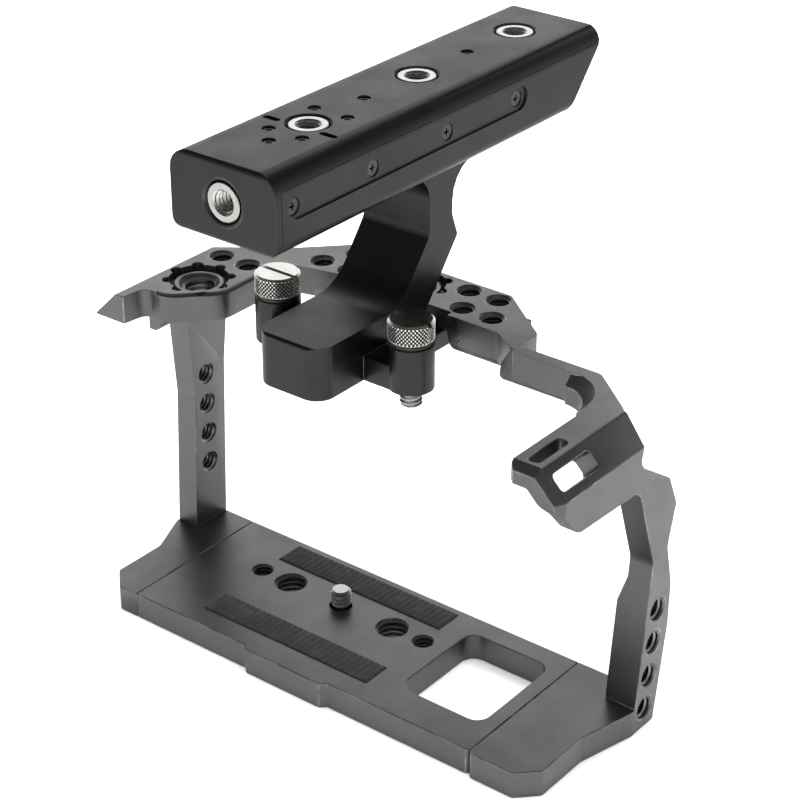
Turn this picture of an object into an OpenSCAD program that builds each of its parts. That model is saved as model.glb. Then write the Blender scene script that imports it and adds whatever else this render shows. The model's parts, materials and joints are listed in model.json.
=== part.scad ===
// Camera cage with a top handle, in millimetres.
// X runs across the camera with 0 on the lens axis, +Y points to the lens, Z = 0 is the underside.
// Y = 0 is the axis of the camera screw.

/* [Camera space] */
// Width of the camera left of the lens axis
cam_left = 48.8; // [47:0.1:50]
// Width of the camera right of the lens axis
cam_right = 81.2; // [80:0.1:83]
// Height of the camera
cam_h = 77.8; // [76:0.1:82]
// Gap between the camera and the right arm
right_gap = 4; // [3:0.1:5]
// Gap between the camera and the left arm
left_gap = 13; // [12:0.1:15]
// Gap between the camera and the top plate
top_gap = 3.2; // [3:0.1:4]

/* [Cage frame] */
// Thickness of the top plate
top_t = 8.5; // [8:0.1:9]
// Thickness of the right arm
right_arm_t = 9.7; // [9:0.1:11]
// Thickness of the left arm
left_arm_t = 7.5; // [7:0.1:8.5]
// Width of the sloped right shoulder
shoulder_w = 7.2; // [6.6:0.1:7.6]
// Thickness of the shell over the right rear corner
shell_t = 5.8; // [5:0.1:6.4]
// Chamfer round the rear edge of that shell
shell_chamfer = 2.1; // [1:0.1:2.5]
// Width of the facet between the top and the right shoulder
facet_w = 1.2; // [0.6:0.1:1.6]
// Chamfer along the pad's rear edge
pad_chamfer = 0.9; // [0.5:0.1:1.2]
// Rear plane of that shell behind the camera screw
shell_back = 30.5; // [28:0.1:33]
// Rear end of the strip along the left shoulder
horn_back = 22.7; // [18:0.1:26]
// Depth of the cross bar from its rear edge to its front edge
bar_depth = 18.7; // [17.5:0.1:20]
// Rear edge of the cross bar in front of the camera screw
bar_y = 26.1; // [25.9:0.1:26.6]
// Height of the ledge in the bar that the handle is screwed into
seat_h = 2; // [1:0.1:2.5]
// Bottom edge of the lip that hugs the camera, over the underside
lip_z = 85.3; // [84:0.1:87]

/* [Strap slots] */
// Length of the slot in the top
top_slot_l = 13.6; // [10:0.1:15]
// Width of the slot in the top
top_slot_w = 3.6; // [2.5:0.1:3.8]
// Length of the slot in the shoulder
shoulder_slot_l = 16; // [12:0.1:17]
// Width of the slot in the shoulder
shoulder_slot_w = 5.2; // [3:0.1:5.4]
// Corner radius of both slots
slot_r = 1.4; // [0.8:0.1:1.5]

/* [Threads] */
// Major diameter of the small camera thread, 1/4 inch by 20 turns
small_thread_d = 6.35; // [6.35:0.05:6.5]
// Major diameter of the large camera thread, 3/8 inch by 16 turns
large_thread_d = 9.525; // [9.525:0.005:9.6]
// Pitch of the small camera thread
small_pitch = 1.27; // [1.2:0.01:1.3]
// Countersink round each small thread
small_sink_d = 7.4; // [6.8:0.1:8]
// Countersink round each large thread
large_sink_d = 12; // [10.5:0.1:12.4]
// Spacing of the threads in a row
hole_pitch = 10; // [9.4:0.1:11]
// Middle radius of the ring of locating pockets
pocket_ring_r = 8.7; // [8.5:0.1:9]
// Diameter of a locating pocket
pocket_d = 3.3; // [3:0.1:3.4]
// Depth of the locating pockets
pocket_depth = 4; // [3:0.1:4.5]
// Depth of the groove that joins the pockets
groove_depth = 2.5; // [2:0.1:3]
// Width of that groove
groove_w = 1.5; // [1.2:0.1:1.8]
// Depth that the collar inside the groove is sunk
collar_sunk = 1.2; // [0.6:0.1:1.5]
// Spacing of the threads along an arm
arm_hole_pitch = 10; // [9.4:0.1:10.4]

/* [Bottom plate] */
// Thickness of the bottom plate
plate_t = 8; // [7.5:0.1:9]
// Rear edge of the bottom plate behind the camera screw
plate_back = 32.4; // [31:0.1:34]
// Front edge of the bottom plate in front of the camera screw
plate_front = 18.8; // [18:0.1:20]
// Seam between the plate and the right foot, from the lens axis
seam_right = 70.2; // [69:0.1:71]
// Seam between the plate and the left foot, from the lens axis
seam_left = 50.4; // [49.5:0.1:51.5]
// Length of the tongues under the feet
tongue_l = 11; // [10.5:0.1:11.3]
// Thickness of the tongues
tongue_t = 4; // [3.6:0.1:4.4]
// Length of a rubber pad
pad_l = 60; // [40:1:70]
// Width of a rubber pad
pad_w = 9; // [7:0.1:11]
// Thickness of a rubber pad
pad_t = 2; // [1.4:0.1:2.6]
// Height of the rubber pads over the plate
pad_proud = 0.5; // [0.3:0.1:0.8]

/* [Camera screw] */
// Diameter of the camera screw's head
cam_head_d = 15; // [12:0.1:17]
// Height of the camera screw's head
cam_head_h = 3.2; // [2.6:0.1:3.4]
// Length of thread that enters the camera
cam_thread_l = 5; // [4:0.1:5.5]
// Diameter of the screw's waist under its thread
cam_waist_d = 4.9; // [4.4:0.1:5.2]
// Thickness of its washer
cam_washer_t = 0.5; // [0.4:0.1:0.8]

/* [Handle] */
// Width of the leg and its foot block
leg_w = 23; // [20:0.1:24]
// Height of the foot block's top over the camera
block_h = 15.5; // [14:0.1:16.5]
// Rear face of the foot block behind the camera screw
block_back = 21; // [18:0.1:24]
// Corner radius of the foot block
block_r = 5.5; // [3:0.1:7]
// Distance from the handle's middle to a thumbscrew
screw_x = 23.35; // [22.5:0.1:25]
// Thumbscrew axis in front of the camera screw
screw_y = 2.8; // [1:0.1:4]
// Diameter of a thumbscrew column
column_d = 12.8; // [12:0.1:14]
// Height of a thumbscrew column
column_h = 13.2; // [12:0.1:14]
// Height of the web between the columns
web_h = 7.2; // [6:0.1:9]
// Width of a prong
prong_w = 8; // [7:0.1:8.5]
// Distance from the handle's middle to a prong's screw
prong_x = 12.5; // [12:0.1:13]

/* [Grip] */
// Width of the grip
grip_w = 34.8; // [32:0.1:37]
// Height of the grip
grip_h = 21.9; // [20.5:0.1:24]
// Height of the grip's underside over the cage
grip_gap = 39.8; // [38:0.1:42]
// Rear end of the grip behind the camera screw
grip_back = 43.1; // [40:0.1:46]
// Front end of the grip in front of the camera screw
grip_front = 98.1; // [96:0.1:104]
// Corner radius along the top of the grip
grip_top_r = 5.6; // [3:0.1:6.5]
// Corner radius along the underside of the grip
grip_low_r = 3.4; // [2:0.1:5]
// Thickness of the side covers
cover_t = 6; // [5:0.1:7]
// Height of a side cover
cover_h = 17.4; // [16.4:0.1:18]
// Wall of a side cover over its hollow
cover_wall = 2.6; // [2.2:0.1:3.4]
// Rear edge of a cover, from the grip's rear end
cover_inset = 2.6; // [2:0.1:4]
// Depth of the panel in the cover
panel_depth = 0.6; // [0.3:0.1:0.9]
// Height of the panel in the cover
panel_h = 7; // [6:0.1:8]

/* [Inserts] */
// Diameter of a steel insert
insert_d = 10.6; // [10:0.1:11.4]
// Length of a steel insert
insert_l = 10; // [8:0.1:11]
// Chamfer of the mouth that an insert sits in
insert_mouth = 1.1; // [0.5:0.1:1.2]
// Spacing of the inserts along the grip
insert_pitch = 45; // [43:0.5:46]

/* [Thumbscrews] */
// Diameter of a thumbscrew's head
thumb_d = 12.8; // [11:0.1:14]
// Height of a thumbscrew's head
thumb_h = 6.3; // [5:0.1:8]
// Width of the slot in the head
thumb_slot_w = 1.4; // [1:0.1:2]
// Depth of the slot in the head
thumb_slot_depth = 1.3; // [0.8:0.1:2]
// Length of thread that enters the camera
thumb_thread_l = 5.5; // [4:0.1:6]
// Thickness of a thumbscrew's washer
thumb_washer_t = 0.8; // [0.5:0.1:1]
// Diameter of the ring that keeps a thumbscrew in its column
clip_d = 9.4; // [8.8:0.1:9.6]
// Thickness of that ring
clip_t = 0.8; // [0.6:0.1:1]
// Turns that a screw makes until it is free
free_turns = 4; // [3:1:4]
// Radial clearance of a turning screw
turn_gap = 0.1; // [0.05:0.01:0.15]

/* [Fasteners] */
// Diameter of the screws in the feet and the prongs
m4_d = 4; // [4:0.1:4.2]
// Head of those screws
m4_head_d = 7.5; // [7:0.1:7.8]
// Height of that head
m4_head_h = 2.3; // [2:0.1:2.5]
// Diameter of the cover screws
m3_d = 3; // [3:0.1:3.2]
// Head of the cover screws
m3_head_d = 4.5; // [4.2:0.1:5]
// Height of the cover screws' heads
m3_head_h = 1.4; // [1:0.1:1.6]
// Depth that those heads are sunk
m3_sunk = 0.35; // [0.1:0.05:0.5]
// Depth that a cover screw reaches into the grip
cover_screw_l = 5; // [4:0.1:5.5]
// Diameter of the set screws on top of the grip
set_screw_d = 3.4; // [3:0.1:4]
// Length of the set screws
set_screw_l = 5; // [4:0.1:6]

/* [Hidden] */
$fn = 64;
eps = 0.01;
fit_gap = 0.1;                                   // between parts that are screwed together
thread_gap = 0.03;                               // film of locking compound round a fixed thread
ring_gap = 0.05;                                 // play of a ring in its groove
arc_steps = 5;                                   // pieces in a rounded corner
socket_rim = 0.6;                                // steel left round a hexagon socket
m4_key = 2.9;                                    // sockets of the M4 and M3 screws, across their corners
m3_key = 1.7;

cam_top = plate_t + pad_proud + cam_h;
top_under = cam_top + top_gap;
cage_h = top_under + top_t;
right_x = cam_right + right_gap + right_arm_t;
left_x = -(cam_left + left_gap + left_arm_t);
left_shoulder = top_t - 0.3;
left_top_x = left_x + left_shoulder;
shell_in_x = right_x - 15.9;                     // inner edge of the shell's top
shoulder_x = right_x - shoulder_w;

// Places of the threads in the top plate
pad_x = left_top_x + 11.1;
pad_y = -0.5;
middle_y = bar_y + 8.9;                          // large thread in the middle of the bar
bar_front = bar_y + bar_depth;
row_back_y = bar_y + 3.9;
row_front_y = row_back_y + hole_pitch;
row_steps = [-2, -1, 1, 2];                      // in rows of small threads, counted from the middle
row_x = [for (i = row_steps) hole_pitch * (i + sign(i))];
row_front_in = hole_pitch / 2;                   // the front row stands half a step further in
pad_holes = [[pad_x - hole_pitch / 2, pad_y + 15], [pad_x + hole_pitch / 2, pad_y + 15]];
middle_pockets = [0, 45, 135, 180, 225, 315];
pad_pockets = [for (i = [0:7]) 45 * i];

// Arms, in steps from the rear edge of each arm's foot
arm_foot_back = 8.6;
arm_foot_front = 18.8;
arm_hole_z = 6.2;
arm_hole_count = 4;
arm_hole_y = 14.2;
arm_hole_lean = 0.126;                           // forward lean of the row for each mm of height
left_hole_y = 13;
left_hole_z = 28;
slot_back = -shell_back + 3.4;

bridge_y = bar_y - 7.4;                          // rear edge of the bridge between the bar and the shell
scoop_x = right_x - 30.2;                        // middle of the round scoop in its corner
guard_split = 40.2;                              // middle of the gap between the two rear guards
guard_crease = cage_h - 5.6;
guard_low = cage_h - 10.8;
guard_r = 1.6;

seat_left = -27.8;
seat_right = 18.9;
seat_y = bar_y + 11.5;
seat_z = top_under + seat_h;
prong_screw_y = bar_y + 4.9;
prong_screw_top = cage_h - 2;

block_top = cam_top + block_h;
grip_z = cage_h + grip_gap;
grip_top = grip_z + grip_h;
cover_top = grip_z + cover_h;
cover_in_x = grip_w / 2 - cover_t;
insert_y = [middle_y - insert_pitch, middle_y, middle_y + insert_pitch];
end_insert_z = grip_z + grip_h / 2;
set_screws = concat(
    [for (i = [-1, 1]) for (j = [-1, 1]) [5.55 * i, insert_y[0] + 9 * j]],
    [[0, insert_y[0] - 15.3], [0, insert_y[0] + insert_pitch / 2], [0, insert_y[1] + insert_pitch / 2]]);
set_screw_z = grip_top - set_screw_l - 0.6;
key_slot = [9.4, -3.4, 5.4, 1.9];                // place, length and width of the two key slots
key_slot_depth = 2;
panel_back = -grip_back + 5.6;
panel_front = panel_back + 99.5;
panel_z = grip_z + 12;
cover_screw_pitch = 31.2;
cover_screw_y = [for (i = [0:3]) panel_back + 1.7 + cover_screw_pitch * i];

column_top = cam_top + column_h;
head_z = column_top + thumb_washer_t;
travel = free_turns * small_pitch;
clip_z = cam_top + 0.3;
clip_room = clip_z + clip_t + travel + 0.3;
clip_bore_d = clip_d + 0.6;

plate_screw_y = [-22, -7, 8];
plate_screw_x = [seam_right + 6, -seam_left - 6];
tongue_back = plate_back - 5;
tongue_front = plate_front - 4;
seam_chamfer = 1;
cam_head_z = 0.5;
boss_x0 = -8.4;                                  // raised part of the plate's rear edge
boss_x1 = 21.6;
boss_out = 1.6;
pad_rear_y = -21;
pad_front_y = 12;
plate_small_x = 30;                              // pair of small threads, from the lens axis
plate_large_x = 19;                              // pair of large threads, from the lens axis
window_x0 = 38;                                  // window under the camera's battery door
window_x1 = 65.5;
window_y0 = -21;
window_y1 = 12;
window_r = 4;
cam_web_z = cam_head_z + cam_head_h + cam_washer_t;

// Points of one rounded corner b between its neighbours a and c; b[2] is the radius.
function corner(a, b, c) =
    let (p = [b[0], b[1]],
         u = ([a[0], a[1]] - p) / norm([a[0], a[1]] - p),
         v = ([c[0], c[1]] - p) / norm([c[0], c[1]] - p),
         half = acos(max(-1, min(1, u * v))) / 2,
         m = (u + v) / norm(u + v),
         o = p + m * b[2] / sin(half),
         t = b[2] / tan(half),
         s = p + u * t - o,
         sweep = 180 - 2 * half,
         side = sign(s[0] * (v * t - u * t)[1] - s[1] * (v * t - u * t)[0]))
    b[2] == 0 ? [p] :
    [for (i = [0:arc_steps]) let (w = side * sweep * i / arc_steps)
        o + [s[0] * cos(w) - s[1] * sin(w), s[0] * sin(w) + s[1] * cos(w)]];

// A closed outline from corners [x, y, radius].
function rounded(c) =
    let (n = len(c))
    [for (i = [0:n - 1]) each corner(c[(i + n - 1) % n], c[i], c[(i + 1) % n])];

// An outline in Y and Z carried along X from x0 to x1.
module along_x(x0, x1) {
    translate([x0, 0, 0]) rotate([90, 0, 90]) linear_extrude(x1 - x0) children();
}

// An outline in X and Z carried along Y from y0 to y1.
module along_y(y0, y1) {
    translate([0, y1, 0]) rotate([90, 0, 0]) linear_extrude(y1 - y0) children();
}

// A straight slot with rounded corners along Y, from z0 to z1.
module strap_slot(length, width, z0, z1) {
    corners = [[-width, -length, 2 * slot_r], [width, -length, 2 * slot_r], [width, length, 2 * slot_r],
               [-width, length, 2 * slot_r]] / 2;
    translate([0, 0, z0]) linear_extrude(z1 - z0) polygon(rounded(corners));
}

// A straight slot with round ends along Y, from z0 to z1.
module slot_y(length, width, z0, z1) {
    run = length - width;
    for (s = [-1, 1]) translate([0, s * run / 2, z0]) cylinder(d = width, h = z1 - z0);
    translate([-width / 2, -run / 2, z0]) cube([width, run, z1 - z0]);
}

// A thread hole with its countersink, down from z = 0.
module thread_hole(d, sink_d, depth) {
    translate([0, 0, -depth]) cylinder(d = d, h = depth + eps);
    translate([0, 0, -(sink_d - d) / 2]) cylinder(d1 = d, d2 = sink_d + 2 * eps, h = (sink_d - d) / 2 + eps);
}

// A small thread, down from z = 0.
module small_thread(depth) {
    thread_hole(small_thread_d, small_sink_d, depth);
}

// The large thread in its sunk collar, with a ring of pockets and the groove that joins them.
module pin_pattern(angles, depth) {
    groove_r = pocket_ring_r - 0.1;
    translate([0, 0, -collar_sunk]) {
        thread_hole(large_thread_d, large_sink_d, depth);
        cylinder(r = groove_r, h = collar_sunk + eps);
    }
    translate([0, 0, -groove_depth]) difference() {
        cylinder(r = groove_r, h = groove_depth);
        translate([0, 0, -eps]) cylinder(r = groove_r - groove_w, h = groove_depth + 1);
    }
    for (a = angles) rotate([0, 0, a]) translate([pocket_ring_r, 0, -pocket_depth])
        cylinder(d = pocket_d, h = pocket_depth + eps);
}

// A countersunk screw with its head down at z = 0 and its thread up to z = length.
module flat_screw(d, head_d, head_h, length, recess_d) {
    difference() {
        union() {
            cylinder(d1 = head_d, d2 = d, h = head_h);
            cylinder(d = d, h = length);
        }
        translate([0, 0, -eps]) cylinder(d = recess_d, h = head_h * 0.7, $fn = 6);
    }
}

// The hole for such a screw.
module flat_screw_hole(d, head_d, head_h, through) {
    gap = 2 * thread_gap;
    translate([0, 0, -eps]) cylinder(d1 = head_d + gap, d2 = d + gap, h = head_h + eps);
    translate([0, 0, -eps]) cylinder(d = d + gap, h = through + eps);
}

/* Cage frame */

// Outline of the top plate, clockwise from the strip's rear end.
module top_plate() {
    strip_x = left_top_x + 2.9;
    pad_back = pad_y - 14.3;
    pad_side = pad_x + 11.9;
    pad_cut = 11.3;
    bridge_front = bar_y - 5;
    scoop_y = bridge_y - 14.6;
    outline = [
        [left_top_x, -horn_back, 0], [left_top_x, bar_y - 8.5, 0],
        [-42.1, bar_front - 12.9, 0], [-29.4, bar_front, 3], [26.1, bar_front, 3],
        [45.6, bar_y + 3.5, 2.5], [46, bridge_front, 0], [shoulder_x - 16, bridge_front, 3],
        [shoulder_x - 1.6, bar_y - 16.8, 3], [shoulder_x, bar_y - 18.5, 0],
        [shoulder_x, -4, 0], [shell_in_x, -4, 0],
        [scoop_x, -4, 0], [scoop_x, bridge_y, 0],
        [44.3, bridge_y, 1.5], [36.5, bar_y - 2.5, 4], [23.4, bar_y - 2.2, 3], [18.9, bar_y, 3],
        [-19.8, bar_y, 6], [pad_side, bar_y - 4.5, 6],
        [pad_side, pad_back + pad_cut, 7], [pad_side - pad_cut, pad_back, 7],
        [strip_x + 1, pad_back, 3], [strip_x, -horn_back, 0]];
    pad_edge = rounded([
        [pad_side, bar_y - 11, 0], [pad_side, pad_back + pad_cut, 7], [pad_side - pad_cut, pad_back, 7],
        [strip_x + 5, pad_back, 0]]);
    difference() {
        translate([0, 0, top_under]) linear_extrude(top_t) polygon(rounded(outline));
        top_chamfer(pad_edge, pad_chamfer);
        translate([scoop_x, scoop_y, top_under - eps]) cylinder(r = 10.5, h = top_t + 1);
        translate([scoop_x, scoop_y, cage_h - 3.1]) cylinder(r1 = 10.5, r2 = 13.6, h = 3.1 + eps);
        translate([shell_in_x - 30, -30, top_under - eps]) cube([30, 30 + scoop_y, top_t + 1]);
        translate([scoop_x - 1, scoop_y - 12, top_under - eps]) cube([12.5, 12, top_t + 1]);
    }
    bridge_front_edge(shoulder_x - 18, bridge_front);
}

// Cuts a chamfer along the top edge that runs through points, with the metal on their right.
module top_chamfer(points, size) {
    over = 0.1;
    for (i = [1:len(points) - 1]) {
        run = points[i] - points[i - 1];
        translate([points[i - 1][0], points[i - 1][1], cage_h]) rotate([90, 0, atan2(run[1], run[0]) + 90])
            translate([0, 0, -over]) linear_extrude(norm(run) + 2 * over)
                polygon([[over, over], [-size - over, over], [over, -size - over]]);
    }
}

// Sloped front face of the bridge between the bar and the right shoulder.
module bridge_front_edge(x1, y) {
    reach = 5;
    along_x(46, x1) polygon([[y - 4, cage_h], [y, cage_h], [y + reach, cage_h - reach],
                             [y + reach, top_under], [y - 4, top_under]]);
}

// One of the two guards behind the right half of the bar, from x[0] to x[1] and down to z. Its rear face
// bends at the crease, and its left end leans above it. Depths are below the crease and at the top.
module rear_guard(x, y, z, undercut, depths, lean) {
    front = y + depths[0];
    side = [[y, cage_h], [y, guard_crease], [y + undercut, z], [front, z], [front, guard_crease],
            [y + depths[1], cage_h]];
    face = [[x[0], z, guard_r], [x[1], z, guard_r / 2], [x[1], cage_h, 0], [x[0] + lean, cage_h, 0],
            [x[0], guard_crease, 0]];
    intersection() {
        along_x(x[0], x[1]) polygon(side);
        along_y(y - guard_r, front) polygon(rounded(face));
    }
}

// Right arm and shell: a side outline cut out of a bent wall.
module right_side() {
    back = -shell_back;
    outline = [
        [back, cage_h, 0], [back, cage_h - 9.5, 2], [back + 8, cage_h - 18.8, 5], [5.4, cage_h - 19.8, 4],
        [14.3, 52, 6], [arm_foot_back, 0, 0], [arm_foot_front, 0, 0], [23.6, 29, 8], [23.8, 42, 6],
        [20.9, 54.5, 5], [24, 66.5, 2.5], [19.6, 76.3, 3], [11.6, 79, 4], [5.3, cage_h - 11.5, 3],
        [bar_y - 17.9, cage_h, 0]];
    wall = [
        [shell_in_x, cage_h, 0], [shell_in_x, cage_h - shell_t, 0], [right_x - 10.3, cage_h - shell_t, 1.5],
        [right_x - 4.6, cage_h - shell_t - 5.7, 1.5], [right_x - 4.6, 79, 0], [right_x - 7.3, 76, 1],
        [right_x - 7.3, 46, 2], [right_x - right_arm_t, 38, 2], [right_x - right_arm_t, 0, 0],
        [right_x, 0, 0], [right_x, cage_h - shoulder_w, 0], [shoulder_x, cage_h, 0]];
    difference() {
        intersection() {
            along_x(shell_in_x - 1, right_x + 1) polygon(rounded(outline));
            along_y(-40, 40) polygon(rounded(wall));
        }
        edge_cut([shoulder_x, 0, cage_h], 0, shell_chamfer);
        edge_cut([shoulder_x, 0, cage_h], 45, shell_chamfer);
        edge_cut([right_x, 0, cage_h - shoulder_w], 90, shell_chamfer);
        edge_cut([shell_in_x, 0, cage_h], -90, shell_chamfer * 0.6);
        translate([shell_in_x + 4.7, slot_back + top_slot_l / 2, 0])
            strap_slot(top_slot_l, top_slot_w, cage_h - 12, cage_h + 1);
        translate([right_x - shoulder_w / 2, slot_back + shoulder_slot_l / 2, cage_h - shoulder_w / 2])
            rotate([0, 45, 0]) strap_slot(shoulder_slot_l, shoulder_slot_w, -9, 3);
    }
}

// Cut that leaves a narrow facet between the top and the sloped shoulder.
module shoulder_facet() {
    lean = 45 / 2;
    translate([shoulder_x, 0, cage_h]) rotate([0, lean, 0])
        translate([-2 * facet_w, -50, -facet_w / 2 * tan(lean)]) cube([4 * facet_w, 100, 3]);
}

// Row of threads in each arm.
module arm_threads() {
    for (i = [0:arm_hole_count - 1]) {
        up = arm_hole_pitch * i;
        depth = i == 0 ? right_arm_t - 1 : right_arm_t + 1;     // the lowest ends in the foot
        translate([right_x, arm_hole_y + arm_hole_lean * up, arm_hole_z + up]) rotate([0, 90, 0])
            small_thread(depth);
        translate([left_x, left_hole_y, left_hole_z + up]) rotate([0, -90, 0]) small_thread(left_arm_t + 1);
    }
}

// Half space behind a chamfer of the shell's rear edge, turned by a degrees about Y round point p.
module edge_cut(p, a, chamfer) {
    size = 60;
    translate([p[0], -shell_back + chamfer, p[2]]) rotate([0, a, 0]) rotate([45, 0, 0])
        translate([-size, -size, 0]) cube([2 * size, 2 * size, size]);
}

// Left arm with the sloped strip along its shoulder.
module left_side() {
    outline = [
        [-horn_back, cage_h, 0], [-horn_back, top_under, 0], [2, top_under, 3], [6, 78, 8], [8, 52, 6],
        [arm_foot_back - 3, 0, 0], [arm_foot_front, 0, 0], [21, 60, 6], [24, top_under - 4, 6],
        [bar_y - 8.5, cage_h, 0]];
    wall = [
        [left_top_x + 2.9, cage_h, 0], [left_top_x, cage_h, 0], [left_x, cage_h - left_shoulder, 0],
        [left_x, 0, 0], [left_x + left_arm_t, 0, 0], [left_x + left_arm_t, top_under, 0],
        [left_top_x + 2.9, top_under, 0]];
    intersection() {
        along_x(left_x - 1, left_top_x + 3) polygon(rounded(outline));
        along_y(-40, 40) polygon(rounded(wall));
    }
}

// Lip under the pad that follows the camera's rounded top corner.
module corner_lip() {
    x0 = -cam_left - 8.1;
    x1 = -cam_left - 2;
    lip = [[x0, top_under + 1], [x0, lip_z], [x0 + 2.5, lip_z], [x0 + 3.7, lip_z + 1.6], [x1, lip_z + 4.2],
           [x1, top_under + 1]];
    along_y(pad_y - 13.9, pad_y + 12) polygon(lip);
}

// Feet that the bottom plate is screwed to.
module feet() {
    back = -plate_back - 0.8;                    // the right foot stands a little behind the plate
    right_foot = [
        [seam_right + fit_gap, back, 0], [right_x - 10.1, back, 1], [right_x - 4.4, back + 5.7, 1],
        [right_x - 4.4, -9.5, 3], [right_x, 8, 6], [right_x, arm_foot_front, 0],
        [seam_right + fit_gap, plate_front, 0]];
    left_foot = [
        [-seam_left - fit_gap, -plate_back, 0], [-seam_left - fit_gap, plate_front, 0],
        [left_x, arm_foot_front, 0], [left_x, 5, 6], [left_x + 6, -9, 4],
        [left_x + 6, -plate_back + 6, 1], [left_x + 12, -plate_back, 1]];
    difference() {
        linear_extrude(plate_t) {
            polygon(rounded(right_foot));
            polygon(rounded(left_foot));
        }
        tongue_space(1, seam_right);
        tongue_space(-1, seam_left);
        seam_cut(seam_right + fit_gap, back);
        for (y = plate_screw_y) {
            for (x = plate_screw_x) {
                translate([x, y, 0]) cylinder(d = m4_d + 2 * thread_gap, h = plate_t - 0.6);
            }
        }
    }
}

// Room for a tongue of the bottom plate under a foot.
module tongue_space(side, seam) {
    x0 = side * (seam - 1);
    x1 = side * (seam + tongue_l + fit_gap);
    translate([min(x0, x1), -tongue_back - fit_gap, -1])
        cube([abs(x1 - x0), tongue_back + tongue_front + 2 * fit_gap, tongue_t + 1]);
}

// Vertical chamfer at a seam in a rear edge.
module seam_cut(x, y) {
    translate([x, y, -1]) rotate([0, 0, 45])
        translate([-seam_chamfer / sqrt(2), -seam_chamfer / sqrt(2), 0])
            cube([seam_chamfer * sqrt(2), seam_chamfer * sqrt(2), plate_t + 2]);
}

module cage_frame() {
    color("dimgray") difference() {
        union() {
            top_plate();
            right_side();
            left_side();
            corner_lip();
            feet();
            rear_guard([seat_right + 0.5, guard_split - 1], bar_y - 2.2, guard_low, 1.6, [12, 12], 0);
            rear_guard([guard_split + 1, scoop_x + 0.2], bridge_y, guard_low + 1, -0.9, [7, 2.4], 3.7);
        }
        translate([seat_left, bar_y - 10, top_under - 1])
            cube([seat_right - seat_left, seat_y - bar_y + 10, seat_h + 1]);
        for (x = row_x) {
            translate([x, row_back_y, cage_h]) small_thread(top_t + 4);
            translate([x - sign(x) * row_front_in, row_front_y, cage_h]) small_thread(top_t + 1);
        }
        for (p = pad_holes) {
            translate([p[0], p[1], cage_h]) small_thread(top_t + 1);
        }
        arm_threads();
        shoulder_facet();
        translate([pad_x, pad_y, cage_h]) pin_pattern(pad_pockets, top_t + 1);
        translate([pad_x, pad_y, lip_z - 1]) cylinder(d = large_thread_d + 2, h = top_under - lip_z + 1);
        translate([0, middle_y, cage_h]) pin_pattern(middle_pockets, top_t + 1);
        for (s = [-1, 1]) {
            translate([s * prong_x, prong_screw_y, seat_z - eps])
                cylinder(d = m4_d + 2 * thread_gap, h = prong_screw_top - seat_z);
        }
    }
}

/* Bottom plate */

module bottom_plate() {
    color("dimgray") difference() {
        union() {
            translate([-seam_left, -plate_back, 0])
                cube([seam_left + seam_right, plate_back + plate_front, plate_t]);
            translate([-seam_left - tongue_l, -tongue_back, 0])
                cube([seam_left + seam_right + 2 * tongue_l, tongue_back + tongue_front, tongue_t]);
            linear_extrude(plate_t) polygon([
                [boss_x0, -plate_back], [boss_x0 + boss_out, -plate_back - boss_out],
                [boss_x1 - boss_out, -plate_back - boss_out], [boss_x1, -plate_back]]);
        }
        seam_cut(seam_right, -plate_back);
        for (y = plate_screw_y) {
            for (x = plate_screw_x) {
                translate([x, y, 0]) flat_screw_hole(m4_d, m4_head_d, m4_head_h, tongue_t + 1);
            }
        }
        for (y = [pad_rear_y, pad_front_y]) {
            translate([-pad_l / 2, y - pad_w / 2, plate_t + pad_proud - pad_t]) cube([pad_l, pad_w, pad_t]);
        }
        translate([0, 0, -eps]) cylinder(d = cam_head_d + 1, h = cam_web_z + eps);
        cylinder(d = small_thread_d + 2 * turn_gap, h = plate_t + 1);
        for (s = [-1, 1]) {
            translate([s * plate_small_x, 0, -1]) cylinder(d = small_thread_d, h = plate_t + 2);
            translate([s * plate_large_x, 0, 0]) mirror([0, 0, 1])
                thread_hole(large_thread_d, large_thread_d + 1, plate_t + 1);
        }
        translate([0, 0, -1]) linear_extrude(plate_t + 2) polygon(rounded([
            [window_x0, window_y0, window_r], [window_x1, window_y0, window_r],
            [window_x1, window_y1, window_r], [window_x0, window_y1, window_r]]));
    }
}

module plate_screws() {
    color("silver") for (y = plate_screw_y) {
        for (x = plate_screw_x) {
            translate([x, y, 0]) flat_screw(m4_d, m4_head_d, m4_head_h, plate_t - 0.9, m4_key);
        }
    }
}

module rubber_pad(y) {
    color([0.1, 0.1, 0.1]) translate([-pad_l / 2, y - pad_w / 2, plate_t + pad_proud - pad_t])
        cube([pad_l, pad_w, pad_t]);
}

module camera_screw() {
    color("silver") difference() {
        union() {
            translate([0, 0, cam_head_z]) cylinder(d = cam_head_d, h = cam_head_h);
            cylinder(d = cam_waist_d, h = plate_t + pad_proud);
            translate([0, 0, plate_t + pad_proud]) cylinder(d = small_thread_d, h = cam_thread_l);
        }
        translate([-cam_head_d / 2 - 1, -1, -1]) cube([cam_head_d + 2, 2, cam_head_z + 2.2]);
        translate([0, 0, -eps]) cylinder(d = 6, h = cam_head_z + 2, $fn = 6);
    }
}

module camera_screw_washer() {
    color("black") translate([0, 0, cam_head_z + cam_head_h]) difference() {
        cylinder(d = cam_head_d - 2, h = cam_washer_t);
        translate([0, 0, -1]) cylinder(d = cam_waist_d + 0.2, h = cam_washer_t + 2);
    }
}

/* Handle */

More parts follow.
